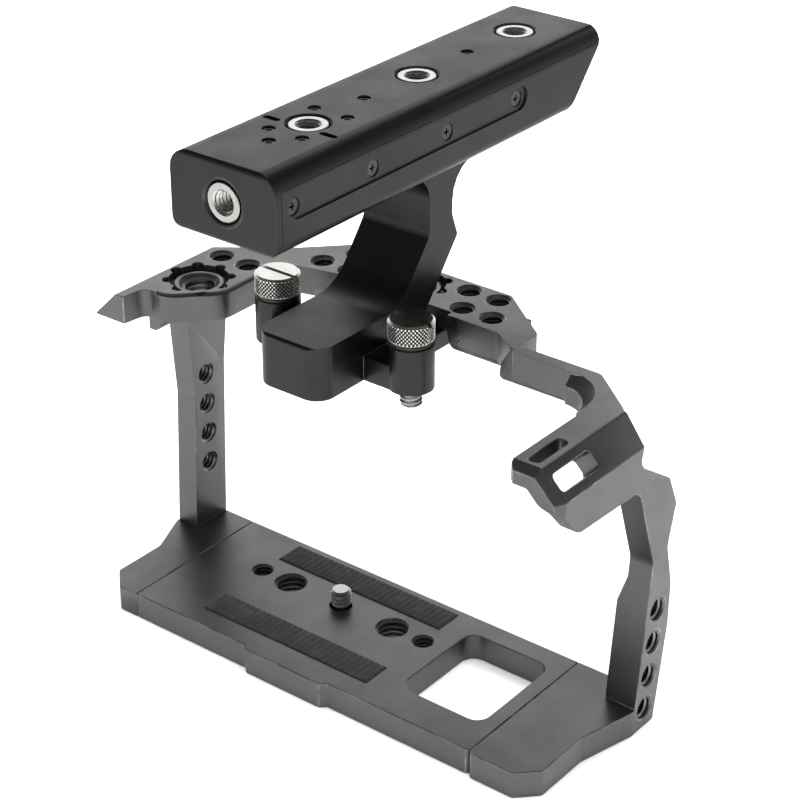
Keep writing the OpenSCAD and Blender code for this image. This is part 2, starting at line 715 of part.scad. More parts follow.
// Side outline of the foot block and the leg, from the camera's top into the grip.
module leg() {
    rear = 26.1;
    front = 36.4;
    outline = [
        [-block_back, cam_top, 0], [16.6, cam_top, 0], [38.9, cage_h + 16.7, 1.2], [front, cage_h + 23.6, 4],
        [front, grip_z - 1.8, 10.5], [front + 14, grip_z - 1.8, 0], [front + 14, grip_z + 2, 0],
        [rear - 14, grip_z + 2, 0], [rear - 14, grip_z - 0.8, 0], [rear, grip_z - 0.8, 8],
        [rear, cage_h + 20.7, 4], [13.2, block_top, 15], [-block_back, block_top, 1.2]];
    plan = [
        [-leg_w / 2, -block_back, block_r], [leg_w / 2, -block_back, block_r],
        [leg_w / 2, 60, 0], [-leg_w / 2, 60, 0]];
    intersection() {
        along_x(-leg_w / 2, leg_w / 2) polygon(rounded(outline));
        linear_extrude(grip_z + 10) polygon(rounded(plan));
    }
}

// The grip's outer shape: a rounded bar with a sloped front end.
module grip_shape() {
    half = grip_w / 2;
    section = [
        [-half, grip_z, grip_low_r], [half, grip_z, grip_low_r],
        [half, grip_top, grip_top_r], [-half, grip_top, grip_top_r]];
    side = [
        [-grip_back, grip_z, 1.5], [grip_front - 15.3, grip_z, 5], [grip_front - 0.7, grip_top - 4.6, 1.5],
        [grip_front, grip_top, 0.6], [-grip_back, grip_top, 1.5]];
    intersection() {
        along_y(-grip_back, grip_front) polygon(rounded(section));
        along_x(-half, half) polygon(rounded(side));
    }
}

// The space that one side cover takes, larger by gap all round.
module cover_space(gap) {
    translate([cover_in_x - gap, -grip_back + cover_inset - gap, grip_z - 5])
        cube([cover_t + 2, grip_back + grip_front + 5, cover_h + 5 + gap]);
}

// Seat of one insert, with its mouth at z = 0 and its floor at -insert_l.
module insert_seat() {
    translate([0, 0, -insert_l]) cylinder(d = insert_d + 2 * thread_gap, h = insert_l + eps);
    translate([0, 0, -insert_mouth])
        cylinder(d1 = insert_d, d2 = insert_d + 2 * insert_mouth, h = insert_mouth + eps);
}

module handle_frame() {
    color([0.16, 0.16, 0.17]) difference() {
        union() {
            difference() {
                grip_shape();
                for (s = [0, 1]) mirror([s, 0, 0]) cover_space(0.15);
            }
            leg();
            translate([-screw_x, -2.8, cam_top]) cube([2 * screw_x, screw_y + 2.8 + column_d / 2, web_h]);
            for (s = [-1, 1]) {
                translate([s * screw_x, screw_y, cam_top]) cylinder(d = column_d, h = column_h);
                translate([s * prong_x - prong_w / 2, screw_y, cam_top])
                    cube([prong_w, seat_y - screw_y - 1.5, seat_z - cam_top]);
            }
        }
        for (s = [-1, 1]) {
            translate([s * screw_x, screw_y, cam_top - 1]) {
                cylinder(r = small_thread_d / 2 + turn_gap, h = column_h + 2);
                cylinder(d = clip_bore_d, h = clip_room - cam_top + 1);
            }
            translate([s * prong_x, prong_screw_y, cam_top])
                flat_screw_hole(m4_d, m4_head_d, m4_head_h, seat_z - cam_top + 1);
        }
        for (y = insert_y) translate([0, y, grip_top]) insert_seat();
        translate([0, -grip_back, end_insert_z]) rotate([90, 0, 0]) insert_seat();
        for (p = set_screws) {
            translate([p[0], p[1], set_screw_z])
                cylinder(d = set_screw_d + 2 * thread_gap, h = set_screw_l + 1);
        }
        for (s = [-1, 1]) {
            translate([s * key_slot[0], insert_y[0] + key_slot[1], 0]) rotate([0, 0, 90])
                slot_y(key_slot[2], key_slot[3], grip_top - key_slot_depth, grip_top + 1);
            for (y = cover_screw_y) {
                translate([s * (cover_in_x - cover_screw_l), y, panel_z]) rotate([0, s * 90, 0])
                    cylinder(d = m3_d + 2 * thread_gap, h = cover_screw_l + 1);
            }
        }
    }
}

module handle_screws() {
    color("silver") for (s = [-1, 1]) {
        translate([s * prong_x, prong_screw_y, cam_top])
            flat_screw(m4_d, m4_head_d, m4_head_h, prong_screw_top - cam_top - 0.5, m4_key);
    }
}

// The right cover: a shell with a sunk panel and four bosses for its screws.
module cover() {
    x_face = grip_w / 2 - panel_depth;
    difference() {
        intersection() {
            grip_shape();
            cover_space(0);
        }
        translate([x_face, (panel_back + panel_front) / 2, panel_z]) rotate([0, 90, 0])
            slot_y(panel_front - panel_back, panel_h, 0, 2);
        for (i = [0:2]) {
            y0 = cover_screw_y[i] + 4;
            translate([cover_in_x - 1, y0, grip_z + cover_wall])
                cube([cover_t - cover_wall + 1, cover_screw_pitch - 8, cover_h - 2 * cover_wall]);
        }
        for (y = cover_screw_y) {
            translate([x_face - m3_sunk, y, panel_z]) rotate([0, -90, 0]) {
                flat_screw_hole(m3_d, m3_head_d, m3_head_h, cover_t + 1);
                translate([0, 0, -m3_sunk - 1]) cylinder(d = m3_head_d + 0.3, h = m3_sunk + 1);
            }
        }
    }
}

module right_cover() {
    color([0.15, 0.15, 0.16]) cover();
}

module left_cover() {
    color([0.15, 0.15, 0.16]) mirror([1, 0, 0]) cover();
}

// Four cover screws, each with its hexagon socket.
module cover_screws() {
    x_face = grip_w / 2 - panel_depth - m3_sunk;
    for (y = cover_screw_y) {
        translate([x_face, y, panel_z]) rotate([0, -90, 0])
            flat_screw(m3_d, m3_head_d, m3_head_h, x_face - cover_in_x + cover_screw_l - 0.3, m3_key);
    }
}

module right_cover_screws() {
    color([0.3, 0.3, 0.3]) cover_screws();
}

module left_cover_screws() {
    color([0.3, 0.3, 0.3]) mirror([1, 0, 0]) cover_screws();
}

// A steel insert with its mouth at z = 0.
module insert() {
    sunk = 0.3;
    mouth = 0.4;
    color("silver") translate([0, 0, -insert_l]) difference() {
        cylinder(d = insert_d, h = insert_l - sunk);
        translate([0, 0, -1]) cylinder(d = small_thread_d, h = insert_l + 2);
        translate([0, 0, insert_l - sunk - mouth])
            cylinder(d1 = small_thread_d, d2 = small_thread_d + 2 * mouth, h = mouth + eps);
    }
}

module top_insert(i) {
    translate([0, insert_y[i], grip_top]) insert();
}

module end_insert() {
    translate([0, -grip_back, end_insert_z]) rotate([90, 0, 0]) insert();
}

module top_set_screws() {
    color([0.2, 0.2, 0.2]) for (p = set_screws) {
        translate([p[0], p[1], set_screw_z]) difference() {
            cylinder(d = set_screw_d, h = set_screw_l);
            translate([0, 0, set_screw_l - 2]) cylinder(d = set_screw_d - 2 * socket_rim, h = 3, $fn = 6);
        }
    }
}

/* Thumbscrews */

// One thumbscrew: head, shank, thread and the groove for its ring.
module thumbscrew(side) {
    tip = cam_top - thumb_thread_l;
    color("silver") translate([side * screw_x, screw_y, 0]) difference() {
        union() {
            translate([0, 0, head_z]) cylinder(d = thumb_d, h = thumb_h - 0.6);
            translate([0, 0, head_z + thumb_h - 0.6]) cylinder(d1 = thumb_d, d2 = thumb_d - 1.2, h = 0.6);
            translate([0, 0, tip + 0.6]) cylinder(d = small_thread_d, h = head_z - tip);
            translate([0, 0, tip]) cylinder(d1 = small_thread_d - 1.2, d2 = small_thread_d, h = 0.6);
        }
        translate([-thumb_d / 2 - 1, -thumb_slot_w / 2, head_z + thumb_h - thumb_slot_depth])
            cube([thumb_d + 2, thumb_slot_w, thumb_slot_depth + 1]);
        translate([0, 0, clip_z - ring_gap]) difference() {
            cylinder(d = small_thread_d + 2, h = clip_t + 2 * ring_gap);
            translate([0, 0, -1]) cylinder(d = small_thread_d - 1, h = clip_t + 2);
        }
    }
}

module thumb_washer(side) {
    color("black") translate([side * screw_x, screw_y, column_top]) difference() {
        cylinder(d = thumb_d - 1.2, h = thumb_washer_t);
        translate([0, 0, -1]) cylinder(r = small_thread_d / 2 + turn_gap, h = thumb_washer_t + 2);
    }
}

// Open ring in the screw's groove.
module thumb_clip(side) {
    color("silver") translate([side * screw_x, screw_y, clip_z]) difference() {
        cylinder(d = clip_d, h = clip_t);
        translate([0, 0, -1]) cylinder(d = small_thread_d - 1 + 2 * ring_gap, h = clip_t + 2);
        translate([-1.2, 0, -1]) cube([2.4, clip_d, clip_t + 2]);
    }
}

cage_frame();
bottom_plate();
plate_screws();
rubber_pad(pad_rear_y);  // rear_pad
rubber_pad(pad_front_y);  // front_pad
camera_screw();
camera_screw_washer();
handle_frame();
handle_screws();
right_cover();
left_cover();
right_cover_screws();
left_cover_screws();
top_insert(0);  // rear_top_insert
top_insert(1);  // middle_top_insert
top_insert(2);  // front_top_insert
end_insert();
top_set_screws();
thumbscrew(-1);  // left_thumbscrew
thumb_washer(-1);  // left_washer
thumb_clip(-1);  // left_clip
thumbscrew(1);  // right_thumbscrew
thumb_washer(1);  // right_washer
thumb_clip(1);  // right_clip
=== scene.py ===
import json
import math
import bmesh
import bpy
import numpy as np
from mathutils.bvhtree import BVHTree
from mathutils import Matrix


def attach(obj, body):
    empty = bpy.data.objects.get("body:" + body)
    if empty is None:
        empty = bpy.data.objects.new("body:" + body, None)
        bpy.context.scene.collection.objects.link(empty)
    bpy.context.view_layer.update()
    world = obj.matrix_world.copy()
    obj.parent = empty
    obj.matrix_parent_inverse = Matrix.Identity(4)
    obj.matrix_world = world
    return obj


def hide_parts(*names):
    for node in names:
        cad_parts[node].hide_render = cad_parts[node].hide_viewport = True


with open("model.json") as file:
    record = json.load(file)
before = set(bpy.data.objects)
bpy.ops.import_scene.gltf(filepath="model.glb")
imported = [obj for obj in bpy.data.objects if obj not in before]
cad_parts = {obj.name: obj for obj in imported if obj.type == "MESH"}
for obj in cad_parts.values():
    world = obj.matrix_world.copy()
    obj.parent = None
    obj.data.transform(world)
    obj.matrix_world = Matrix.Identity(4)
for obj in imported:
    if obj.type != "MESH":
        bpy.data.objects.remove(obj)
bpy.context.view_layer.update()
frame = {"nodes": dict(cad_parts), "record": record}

mm = 0.001
tau = 2 * math.pi
scene = bpy.context.scene
noiseRoughness = 0.55  # how much of every pattern is in its finer layers
print("frame loaded:", len(frame["nodes"]), "nodes")


# A material with its node tree and shader; its patterns read Object coordinates in metres.
class Finish:
    def __init__(self, name, colour, metallic, roughness, grazing=1.0):
        self.material = bpy.data.materials.new(name)
        self.material.use_nodes = True
        self.tree = self.material.node_tree
        self.shader = self.tree.nodes["Principled BSDF"]
        self.shader.inputs["Base Color"].default_value = (*colour, 1)
        self.shader.inputs["Metallic"].default_value = metallic
        self.shader.inputs["Roughness"].default_value = roughness
        self.shader.inputs["Specular Tint"].default_value = (grazing, grazing, grazing, 1)
        self.coords = self.node("ShaderNodeTexCoord").outputs["Object"]

    def node(self, kind, **settings):
        made = self.tree.nodes.new(kind)
        for key, value in settings.items():
            setattr(made, key, value)
        return made

    def join(self, output, socket):
        self.tree.links.new(output, socket)

    # noise with features about size metres across, stretched by a factor along each axis
    def noise(self, size, detail, stretch=(1, 1, 1)):
        mapping = self.node("ShaderNodeMapping")
        mapping.inputs["Scale"].default_value = stretch
        self.join(self.coords, mapping.inputs["Vector"])
        made = self.node("ShaderNodeTexNoise")
        made.inputs["Scale"].default_value = 1 / size
        made.inputs["Detail"].default_value = detail
        made.inputs["Roughness"].default_value = noiseRoughness
        self.join(mapping.outputs["Vector"], made.inputs["Vector"])
        return made.outputs["Fac"]

    # carries a value from between fromLow and fromHigh to between low and high
    def spread(self, value, low, high, fromLow=0.3, fromHigh=0.7):
        made = self.node("ShaderNodeMapRange")
        made.inputs["From Min"].default_value = fromLow
        made.inputs["From Max"].default_value = fromHigh
        made.inputs["To Min"].default_value = low
        made.inputs["To Max"].default_value = high
        self.join(value, made.inputs["Value"])
        return made.outputs["Result"]

    # goes from the first colour to the second, each a plain colour or another blend
    def blend(self, amount, first, second):
        made = self.node("ShaderNodeMix", data_type="RGBA")
        self.join(amount, made.inputs["Factor"])
        for socket, colour in ((made.inputs["A"], first), (made.inputs["B"], second)):
            if hasattr(colour, "is_linked"):
                self.join(colour, socket)
            else:
                socket.default_value = (*colour, 1)
        return made.outputs["Result"]

    def product(self, first, second):
        made = self.node("ShaderNodeMath", operation="MULTIPLY")
        self.join(first, made.inputs[0])
        self.join(second, made.inputs[1])
        return made.outputs["Value"]

    def bump(self, height, depth):
        made = self.node("ShaderNodeBump")
        made.inputs["Strength"].default_value = 1.0
        made.inputs["Distance"].default_value = depth
        self.join(height, made.inputs["Height"])
        return made.outputs["Normal"]

    def finish(self, colour=None, roughness=None, normal=None):
        for output, name in ((colour, "Base Color"), (roughness, "Roughness"), (normal, "Normal")):
            if output:
                self.join(output, self.shader.inputs[name])
        return self.material


# In the next three dictionaries plain sizes are in metres, a range is the part of the noise that counts, and
# smoother and rougher are how far the roughness drifts to either side.
anodising = {
    "mottle": 0.03, "deep": 0.93, "pale": 1.07,  # slow patches, as shares of the base colour
    "speckGrains": 3, "speckColour": 1.3, "speckAmount": 0.5, "speckRange": (0.45, 0.8),  # paler grains
    "rub": 0.007, "rubRange": (0.42, 0.62),  # where an edge has lost its dye
    "scuff": 0.0012, "scuffLeast": 0.2, "scuffRange": (0.35, 0.65),  # finer gaps in that
    "cloud": 0.012, "smoother": 0.05, "rougher": 0.06,
}
turning = {"ring": 0.0003, "stretch": (1, 1, 3), "stain": 0.004, "stainRange": (0.35, 0.7),
           "smoother": 0.06, "rougher": 0.1}
moulding = {"dust": 0.006, "dustAmount": 0.6, "dustRange": (0.5, 0.75), "dustColour": 1.8, "dustLift": 0.01,
            "cloud": 0.002, "smoother": 0.08, "rougher": 0.05}


# Blasted and anodised aluminium: fine grain, slow mottling, and thin, paler dye where the edges rub.
def anodised(name, look, worn=False):
    a = anodising
    base = np.array(look["colour"])
    made = Finish(name, base, look["metallic"], look["roughness"], look["grazing"])
    mottle = made.spread(made.noise(a["mottle"], 4), 0, 1)
    colour = made.blend(mottle, tuple(base * a["deep"]), tuple(base * a["pale"]))
    specks = made.noise(look["grain"] * a["speckGrains"], 2)
    specks = made.spread(specks, 0, a["speckAmount"], *a["speckRange"])
    colour = made.blend(specks, colour, tuple(base * a["speckColour"]))
    if worn:
        rub = made.spread(made.noise(a["rub"], 4), 0, 1, *a["rubRange"])
        scuff = made.spread(made.noise(a["scuff"], 3), a["scuffLeast"], look["wear"], *a["scuffRange"])
        colour = made.blend(made.product(rub, scuff), colour, look["bare"])
    low, high = look["roughness"] - a["smoother"], look["roughness"] + a["rougher"]
    rough = made.spread(made.noise(a["cloud"], 5), low, high)
    return made.finish(colour, rough, made.bump(made.noise(look["grain"], 2), look["depth"]))


# Turned steel: fine tool rings, a faint stain, and in a look that has oilAndShade, near-black oil and
# painted shade in the knurl's grooves.
def turnedSteel(name, look):
    t = turning
    base = np.array(look["colour"])
    made = Finish(name, base, 1.0, look["roughness"])
    rings = made.noise(t["ring"], 2, t["stretch"])
    stain = made.spread(made.noise(t["stain"], 4), 0, 1, *t["stainRange"])
    colour = made.blend(stain, tuple(base), tuple(base * look["stain"]))
    # painted shade: the knurl's grooves go near black with depth, partly oil and partly the shade that falls
    # in them
    if "oilAndShade" in look:
        groove = made.node("ShaderNodeAttribute", attribute_name="groove").outputs["Fac"]
        colour = made.blend(made.spread(groove, 0, 1, *look["oilAndShadeRange"]), colour, look["oilAndShade"])
    rough = made.spread(rings, look["roughness"] - t["smoother"], look["roughness"] + t["rougher"])
    return made.finish(colour, rough, made.bump(rings, look["depth"]))


# Moulded rubber or nylon: matt, with a fine pebble and dust in it.
def moulded(name, look):
    m = moulding
    base = np.array(look["colour"])
    made = Finish(name, base, 0.0, look["roughness"])
    dust = made.spread(made.noise(m["dust"], 5), 0, m["dustAmount"], *m["dustRange"])
    colour = made.blend(dust, tuple(base), tuple(base * m["dustColour"] + m["dustLift"]))
    low, high = look["roughness"] - m["smoother"], look["roughness"] + m["rougher"]
    rough = made.spread(made.noise(m["cloud"], 3), low, high)
    return made.finish(colour, rough, made.bump(made.noise(look["grain"], 3), look["depth"]))


# grazing is the reflectance at a grazing angle; grain and depth are the size and height of the fine relief,
# in metres; wear is how much of the bare metal shows on a rubbed edge
frameLook = {"colour": (0.095, 0.095, 0.097), "metallic": 0.92, "roughness": 0.38, "grazing": 0.95,
             "grain": 0.00022, "depth": 0.000008, "wear": 0.5, "bare": (0.42, 0.42, 0.43)}
boreLook = {"colour": (0.17, 0.17, 0.172), "metallic": 0.92, "roughness": 0.3, "grazing": 1.0,
            "grain": 0.0002, "depth": 0.000004}
handleLook = {"colour": (0.03, 0.03, 0.031), "metallic": 0.92, "roughness": 0.33, "grazing": 0.7,
              "grain": 0.00018, "depth": 0.000005, "wear": 0.35, "bare": (0.17, 0.17, 0.175)}
coverLook = {"colour": (0.031, 0.031, 0.032), "metallic": 0.92, "roughness": 0.33, "grazing": 0.7,
             "grain": 0.00018, "depth": 0.000005, "wear": 0.2, "bare": (0.1, 0.1, 0.105)}
steelLook = {"colour": (0.38, 0.371, 0.354), "roughness": 0.27, "depth": 0.000005, "stain": 0.85}
headLook = {"colour": (0.47, 0.458, 0.432), "roughness": 0.27, "depth": 0.000005, "stain": 0.85}
# the knurl's colour is painted paler than the head's own steel, a painted highlight on its crests, and
# oilAndShade darkens its grooves with oil and painted shade
paintedLightKnurlLook = {"colour": (0.85, 0.83, 0.79), "roughness": 0.22, "depth": 0.000005, "stain": 0.9,
             "oilAndShade": (0.015, 0.014, 0.013), "oilAndShadeRange": (0.15, 0.5)}
threadSteelLook = {"colour": (0.56, 0.545, 0.515), "roughness": 0.26, "depth": 0.000005, "stain": 0.75}
blackSteelLook = {"colour": (0.06, 0.06, 0.061), "roughness": 0.34, "depth": 0.000006, "stain": 0.7}
setSteelLook = {"colour": (0.32, 0.32, 0.322), "roughness": 0.36, "depth": 0.000006, "stain": 0.7}
rubberLook = {"colour": (0.02, 0.02, 0.02), "roughness": 0.78, "grain": 0.0004, "depth": 0.00003}
nylonLook = {"colour": (0.028, 0.028, 0.029), "roughness": 0.5, "grain": 0.0003, "depth": 0.00001}

frameMetal = anodised("frameAnodised", frameLook)
frameEdge = anodised("frameEdge", frameLook, True)
handleMetal = anodised("handleAnodised", handleLook)
handleEdge = anodised("handleEdge", handleLook, True)
coverMetal = anodised("coverAnodised", coverLook)
coverEdge = anodised("coverEdge", coverLook, True)
boreMetal = anodised("boreAnodised", boreLook)
brightSteel = turnedSteel("brightSteel", steelLook)
headSteel = turnedSteel("headSteel", headLook)
knurledSteel = turnedSteel("knurledSteel", paintedLightKnurlLook)
threadSteel = turnedSteel("threadSteel", threadSteelLook)
blackSteel = turnedSteel("blackOxide", blackSteelLook)
setSteel = turnedSteel("setScrewOxide", setSteelLook)
padRubber = moulded("padRubber", rubberLook)
washerNylon = moulded("washerNylon", nylonLook)

# every CAD node starts with the finish of its slot
slotMaterials = {"frame_metal": frameMetal, "handle_metal": handleMetal, "cover_metal": coverMetal,
                 "bright_steel": brightSteel, "dark_steel": blackSteel, "pad_rubber": padRubber,
                 "washer_nylon": washerNylon}
slotNames = {part["node"]: part["material_slot"] for part in frame["record"]["subparts"]}
for node, slotName in slotNames.items():
    data = frame["nodes"][node].data
    data.materials.clear()
    data.materials.append(slotMaterials[slotName])
print("materials made:", len(bpy.data.materials))


def linked(name, data):
    made = bpy.data.objects.new(name, data)
    scene.collection.objects.link(made)
    return made


def handOver(piece, body, replaces):
    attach(piece, body)
    if replaces:
        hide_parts(*replaces)
    return piece


meshRule = {"weld": 0.004, "sharp": 30}  # mm under which points are one, degrees past which a fold is crisp


# Puts points in mm and four-sided faces into one mesh, welds the seams and hands the piece over. A part is
# its points, its faces and, where it isn't the first, the number of its material.
def makePiece(name, parts, materials, body, replaces=(), sharp=meshRule["sharp"]):
    points, faces, finishes, start = [], [], [], 0
    for grid, quads, *finish in parts:
        points.append(grid)
        faces.append(quads + start)
        finishes.append(np.full(len(quads), *(finish or [0]), dtype=np.int32))
        start += len(grid)
    points, faces = np.vstack(points) * mm, np.vstack(faces)
    mesh = bpy.data.meshes.new(name)
    mesh.vertices.add(len(points))
    mesh.vertices.foreach_set("co", points.astype(np.float32).ravel())
    mesh.loops.add(faces.size)
    mesh.loops.foreach_set("vertex_index", faces.astype(np.int32).ravel())
    mesh.polygons.add(len(faces))
    mesh.polygons.foreach_set("loop_start", np.arange(0, faces.size, 4, dtype=np.int32))
    for material in materials:
        mesh.materials.append(material)
    mesh.polygons.foreach_set("material_index", np.concatenate(finishes))
    mesh.update(calc_edges=True)
    mesh.validate()
    work = bmesh.new()
    work.from_mesh(mesh)
    bmesh.ops.remove_doubles(work, verts=work.verts, dist=meshRule["weld"] * mm)
    bmesh.ops.recalc_face_normals(work, faces=work.faces)
    work.to_mesh(mesh)
    work.free()
    mesh.shade_smooth()
    mesh.set_sharp_from_angle(angle=math.radians(sharp))
    return handOver(linked(name, mesh), body, replaces)


# A property of every item of a mesh, as an array with so many columns.
def readAll(items, name, kind, columns):
    values = np.empty(len(items) * columns, kind)
    items.foreach_get(name, values)
    return values.reshape(-1, columns)


# Four-sided faces between the rows and columns of a grid; closed joins the last column to the first.
def gridFaces(rows, columns, closed=False):
    across = np.arange(columns if closed else columns - 1)
    row, column = np.meshgrid(np.arange(rows - 1), across, indexing="ij")
    after = (column + 1) % columns
    corners = (row * columns + column, row * columns + after, (row + 1) * columns + after,
               (row + 1) * columns + column)
    return np.stack(corners, -1).reshape(-1, 4)


# A grid of points [rows, columns, 3] with its faces.
def patch(grid, closed=False):
    rows, columns = grid.shape[:2]
    return grid.reshape(-1, 3), gridFaces(rows, columns, closed)


# Turns points made round the Z axis so that Z runs along axis, and moves them to place.
def aimed(grid, place, axis):
    forward = np.array(axis, float) / np.linalg.norm(axis)
    nearlyUpright = abs(forward[2]) > 0.9
    helper = np.array((0.0, 1.0, 0.0) if nearlyUpright else (0.0, 0.0, 1.0))
    side = np.cross(helper, forward)
    side /= np.linalg.norm(side)
    return grid @ np.array((side, np.cross(forward, side), forward)) + np.array(place, float)


# The angles of so many columns, once round.
def roundAngles(columns):
    return np.arange(columns) / columns * tau


# Rows of radii over the angles, from single numbers, single rows and blocks of rows.
def radiusRows(angles, *rows):
    return np.vstack([row + 0 * angles for row in rows])


# A surface of revolution: x and y are the radius times the angle's cosine and sine, z is the height. Radius
# and height are [rows] or [rows, columns] arrays over the angles.
def revolved(radius, height, angles):
    radius = radius[:, None] if radius.ndim == 1 else radius
    height = height[:, None] if height.ndim == 1 else height
    radius, height = np.broadcast_arrays(radius + 0 * angles, height + 0 * angles)
    return np.stack((radius * np.cos(angles), radius * np.sin(angles), height), -1)


# 0 at the ends of a repeat and 1 in its middle, in straight lines.
def triangle(value):
    return 1 - 2 * np.abs(value - np.floor(value) - 0.5)


# Radius of a hexagon: half its width across flats over the cosine of the angle from a flat's middle.
def hexagon(angles, flat):
    return flat / np.cos((angles + math.pi / 6) % (math.pi / 3) - math.pi / 6)


threadForm = {"rootFlat": 0.14, "flank": 0.72}  # shares of half a pitch; the crest's flat takes the rest
screwThread = {"crest": 3.14, "root": 2.5, "pitch": 1.27}  # radii and pitch of the quarter-inch screws, mm


# Radius of a thread: the crest stands where height / pitch minus the angle is whole, with sloped flanks.
def threadRadius(height, angles, crest, root, pitch):
    wave = triangle(height / pitch - angles / tau + 0.5)
    share = np.clip((wave - threadForm["rootFlat"]) / threadForm["flank"], 0, 1)
    return root + (crest - root) * share


# The metal bodies are carried over from the CAD nodes, with broken edges. Lengths in mm, angles in degrees.
bodyEdges = {"cage_frame": ("frameBody", 0.3), "bottom_plate": ("plateBody", 0.3),
             "handle_frame": ("handleBody", 0.5), "right_cover": ("rightCoverBody", 0.15),
             "left_cover": ("leftCoverBody", 0.15)}
edgeRule = {
    "merge": 0.02, "flat": 0.4,  # how near points are merged, and how flat a fold is no fold
    "crease": 8, "beveled": 28,  # least angle of a fold, and what one fold of a beveled chain has to reach
    "creaseWidth": 4.5, "shortest": 0.01,  # faces beside a crisp fold are wider than that
    "straight": 25,  # a chain goes on over corners up to this
    "room": 0.9, "sharedRoom": 0.45, "leastSine": 0.02,  # share of a side edge for one bevel or for two
    "segments": 2, "stray": 0.14, "overlap": 0.002,  # rows of a bevel, and what counts as off or folded
    "near": 1.2, "least": 0.05, "tries": 6,  # chains nearer than that shrink, below least to nothing
}


# A fold between two wide faces stays crisp; the narrow strips of a rounded corner are shaded as one.
def isCrease(edge):
    length = max(edge.calc_length(), edgeRule["shortest"] * mm)
    wide = min(face.calc_area() for face in edge.link_faces) / length
    sharp = edge.calc_face_angle(0) > math.radians(edgeRule["crease"])
    return sharp and wide > edgeRule["creaseWidth"] * mm


# Width that a bevel along an edge has room for, and the folds that carry the edge on in the same direction.
def bevelRoom(edge, folds, width):
    room, onward = width, []
    straight = math.cos(math.radians(edgeRule["straight"]))
    for loop in edge.link_loops:
        for beside, corner in ((loop.link_loop_next.edge, loop.link_loop_next.vert),
                               (loop.link_loop_prev.edge, loop.vert)):
            along = (edge.other_vert(corner).co - corner.co).normalized()
            away = beside.other_vert(corner).co - corner.co
            if beside in folds and along.dot(away) < -straight * away.length:
                onward.append(beside)
                continue
            lean = max(along.cross(away.normalized()).length, edgeRule["leastSine"])
            meets = any(far in folds for far in beside.other_vert(corner).link_edges if far is not beside)
            room = min(room, edgeRule["sharedRoom" if meets else "room"] * away.length * lean)
    return room, onward


# Chains of folds that run on into each other: each is its edges and the one width that all have room for.
def foldChains(work, width):
    folds = {edge: edge.calc_face_angle(0) for edge in work.edges if edge.is_manifold}
    folds = {edge: angle for edge, angle in folds.items() if angle >= math.radians(edgeRule["crease"])}
    rooms = {edge: bevelRoom(edge, folds, width) for edge in folds}
    nextTo = {edge: set(onward) for edge, (_, onward) in rooms.items()}
    for edge, (_, onward) in rooms.items():
        for beside in onward:
            nextTo[beside].add(edge)
    chains, seen = [], set()
    for first in folds:
        if first in seen:
            continue
        chain, waiting = [], [first]
        seen.add(first)
        while waiting:
            edge = waiting.pop()
            chain.append(edge)
            waiting += nextTo[edge] - seen
            seen |= nextTo[edge]
        if max(folds[edge] for edge in chain) >= math.radians(edgeRule["beveled"]):
            chains.append([chain, min(rooms[edge][0] for edge in chain)])
    return chains


# How poor an edge is as a bridge across its flat face: its length over the sine of its slant to the rim.
def bridgeCost(edge):
    lean = 1.0
    for corner in edge.verts:
        along = (edge.other_vert(corner).co - corner.co).normalized()
        for beside in corner.link_edges:
            if beside is not edge and beside.calc_face_angle(math.pi) > math.radians(edgeRule["flat"]):
                rim = (beside.other_vert(corner).co - corner.co).normalized()
                lean = min(lean, along.cross(rim).length)
    return edge.calc_length() / max(lean, edgeRule["leastSine"])


# Joins flat neighbours into whole faces, over the poorest bridges first, so that short upright ones stay:
# an edge that only just passes a hole would cut into the hole's bevel.
def wholeFaces(work):
    flat = math.radians(edgeRule["flat"])
    bmesh.ops.dissolve_limit(work, angle_limit=flat, verts=work.verts, edges=work.edges)
    large = [face for face in work.faces if len(face.verts) > 4]
    bmesh.ops.triangulate(work, faces=large, ngon_method="BEAUTY")
    inner = [edge for edge in work.edges if edge.is_manifold and edge.calc_face_angle(0) < flat]
    costs = {edge: bridgeCost(edge) for edge in inner}
    for edge in sorted(inner, key=lambda edge: -costs[edge]):
        if edge.is_valid and edge.is_manifold:
            first, second = edge.link_faces
            shared = set(first.edges) & set(second.edges)
            if len(set(first.verts) & set(second.verts)) == len(shared) + 1:
                bmesh.utils.face_join((first, second))


# Points of a mesh where a flat face folds over itself: the corners of triangles that look the other way.
def foldedPoints(mesh):
    mesh.calc_loop_triangles()
    corners = readAll(mesh.loop_triangles, "vertices", np.int32, 3)
    owner = readAll(mesh.loop_triangles, "polygon_index", np.int32, 1)[:, 0]
    facing = readAll(mesh.polygons, "normal", np.float32, 3)
    points = readAll(mesh.vertices, "co", np.float32, 3).astype(float)
    first, second, third = points[corners].transpose(1, 0, 2) / mm
    across = np.cross(second - first, third - first)
    folded = (across * facing[owner]).sum(1) < -edgeRule["overlap"]
    return [mesh.vertices[i].co for i in np.unique(corners[folded])]


